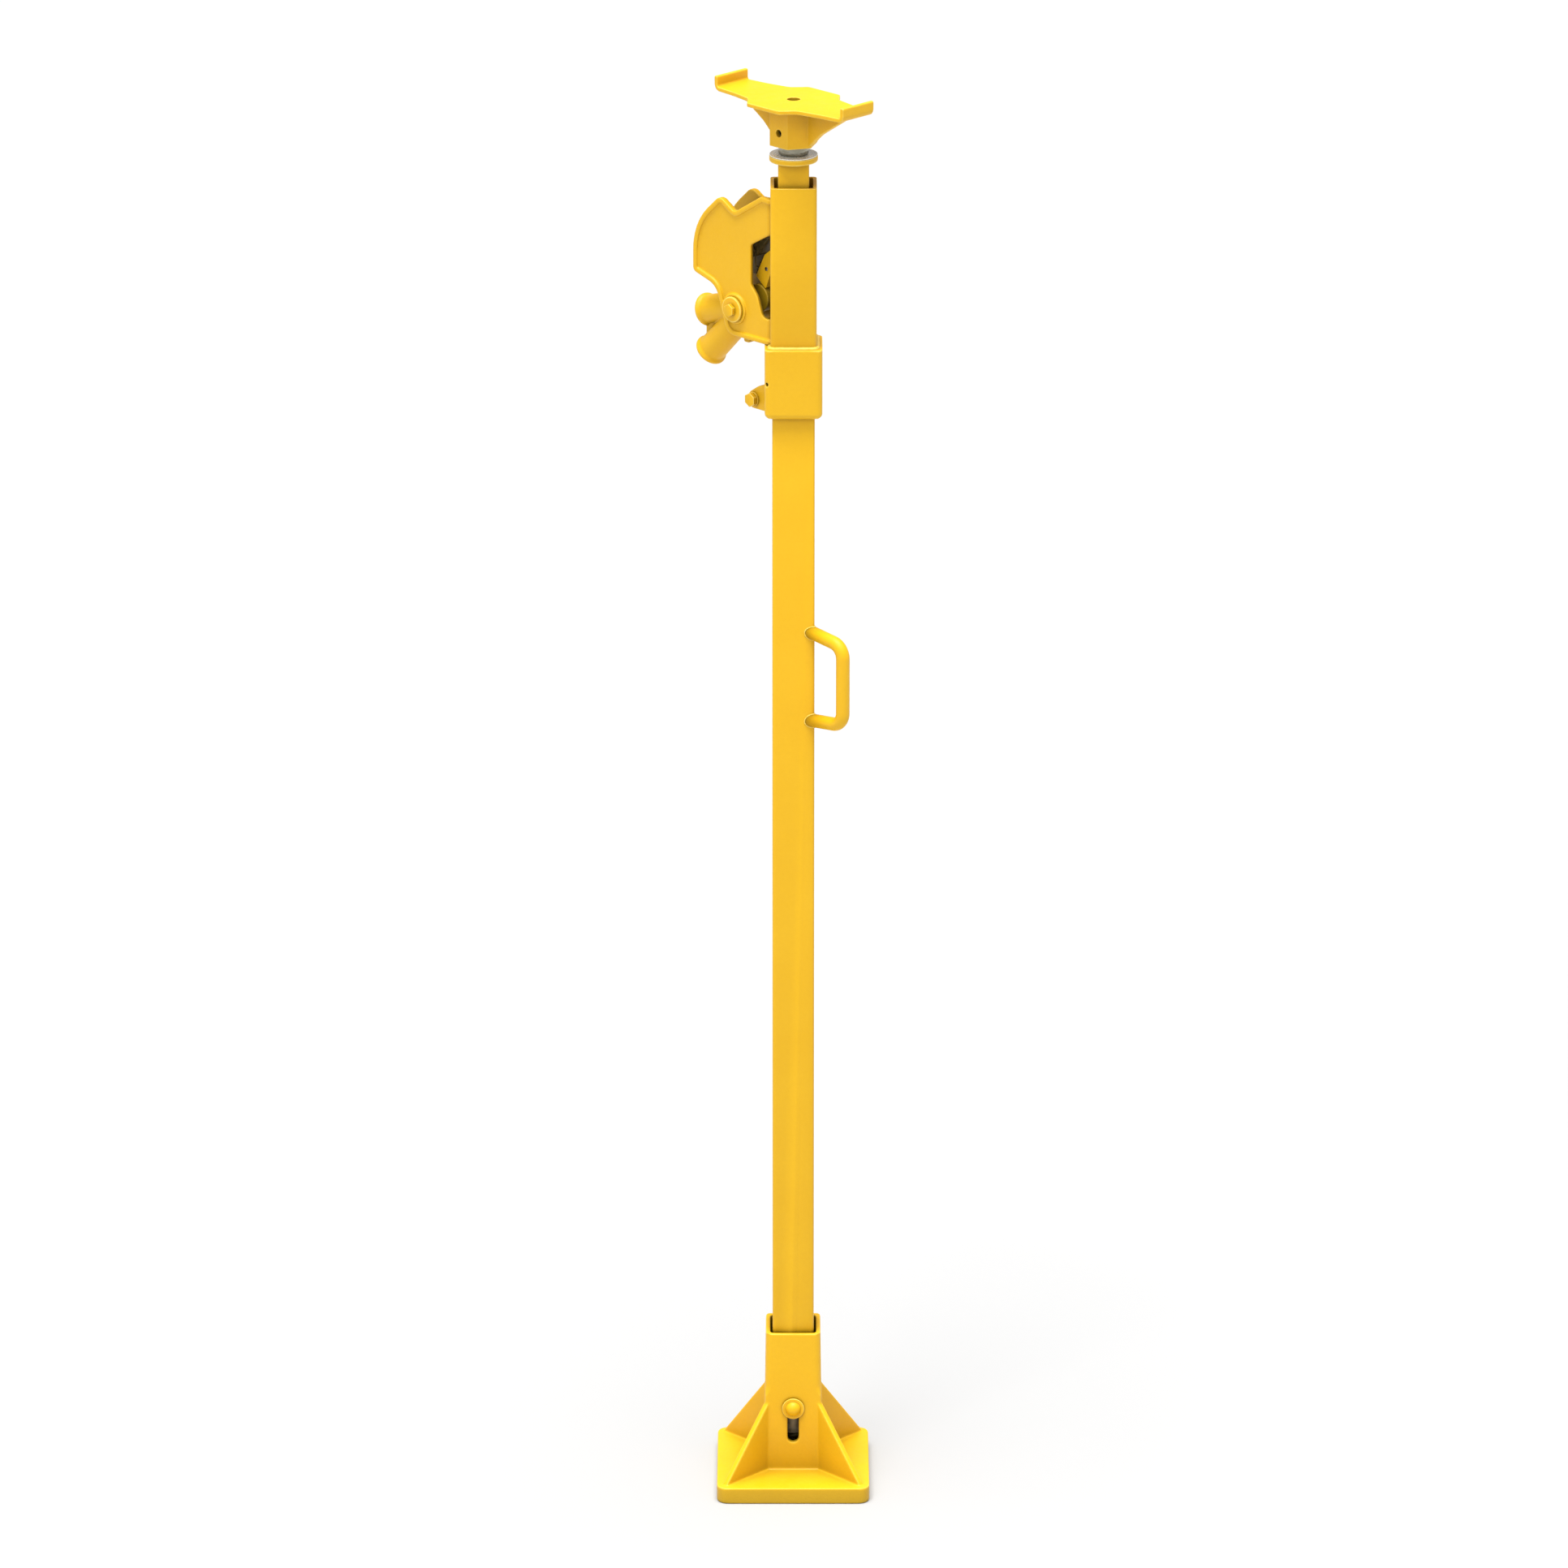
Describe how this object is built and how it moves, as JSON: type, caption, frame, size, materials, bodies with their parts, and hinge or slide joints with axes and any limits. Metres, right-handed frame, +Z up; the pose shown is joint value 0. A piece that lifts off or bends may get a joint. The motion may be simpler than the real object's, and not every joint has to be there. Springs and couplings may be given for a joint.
{
  "type": "lever-operated roof support jack",
  "caption": "Telescoping post jack: sprung foot, square leg, lever head with friction dogs, and a square ram with a swivelling saddle.",
  "frame": {"origin": "centre of the foot's underside, on the floor", "axes": "+Z up along the jack's axis; X and Y parallel to the faces of the square tubes, with the cross pin's heads along Y; the lever stands out over the -X +Y corner"},
  "size_m": [0.2689, 0.2689, 2.23],
  "materials": {
    "yellow_paint": "semi-gloss enamel over cast and welded steel",
    "bare_steel": "turned bare steel, lightly dulled",
    "dark_steel": "dark oiled steel",
    "bearing_bronze": "dull bearing bronze"
  },
  "bodies": {
    "foot": {"base_foot": "yellow_paint", "foot_spring": "dark_steel"},
    "post": {"leg_tube": "yellow_paint", "leg_end_plug": "yellow_paint", "spring_cup": "dark_steel", "foot_pin": "yellow_paint", "foot_pin_washers": "yellow_paint", "carry_handle": "yellow_paint", "clamp_collar": "yellow_paint", "collar_bolt": "yellow_paint", "collar_nut": "yellow_paint", "collar_washers": "yellow_paint", "housing_tube": "yellow_paint", "near_cheek": "yellow_paint", "far_cheek": "yellow_paint", "lower_ram_guide": "bearing_bronze", "upper_ram_guide": "bearing_bronze", "lever_pin": "bare_steel", "lever_pin_caps": "yellow_paint", "lever_pin_screws": "yellow_paint", "lever_spacers": "bare_steel", "holding_dog_pin": "bare_steel", "lifting_dog_spring": "dark_steel", "holding_dog_spring": "dark_steel"},
    "lever": {"lever": "yellow_paint"},
    "lifting_dog": {"lifting_dog": "yellow_paint", "lifting_dog_jaw": "dark_steel", "lifting_dog_dowel": "bare_steel"},
    "holding_dog": {"holding_dog": "dark_steel", "holding_dog_jaw": "dark_steel", "holding_dog_dowel": "bare_steel"},
    "ram": {"ram_tube": "yellow_paint", "ram_stop_ring": "bare_steel", "ram_flange": "yellow_paint", "thrust_washer": "bare_steel", "spindle_bush": "bearing_bronze"},
    "head": {"head_saddle": "yellow_paint", "spindle": "bare_steel", "spindle_circlip": "dark_steel", "head_roll_pin": "dark_steel"}
  },
  "joints": [
    {"name": "leg_in_foot", "type": "slide", "parent": "foot", "child": "post", "axis": [0, 0, 1], "range_m": [-0.049, 0], "stiffness_N_per_m": 12000, "springref_m": 0.04, "deforming": ["foot_spring"]},
    {"name": "lever_swing", "type": "hinge", "parent": "post", "child": "lever", "pos_m": [-0.06187, 0.06187, 1.881], "axis": [0.7071, 0.7071, 0], "range_deg": [-4, 50]},
    {"name": "lifting_dog_slide", "type": "slide", "parent": "post", "child": "lifting_dog", "axis": [0, 0, 1], "range_m": [-0.0195, 0.002]},
    {"name": "holding_dog_tilt", "type": "hinge", "parent": "post", "child": "holding_dog", "pos_m": [-0.05162, 0.05162, 1.972], "axis": [0.7071, 0.7071, 0], "range_deg": [-14, 0], "stiffness_Nm_per_rad": 0.6, "springref_deg": 20.05},
    {"name": "ram_lift", "type": "slide", "parent": "post", "child": "ram", "axis": [0, 0, 1], "range_m": [-0.034, 0.6]},
    {"name": "head_swivel", "type": "hinge", "parent": "ram", "child": "head", "pos_m": [0, 0, 2.2], "axis": [0, 0, 1], "continuous": true}
  ],
  "couplings": [
    {"joint": "lifting_dog_slide", "follows": "lever_swing", "m_per_rad": -0.0215}
  ]
}
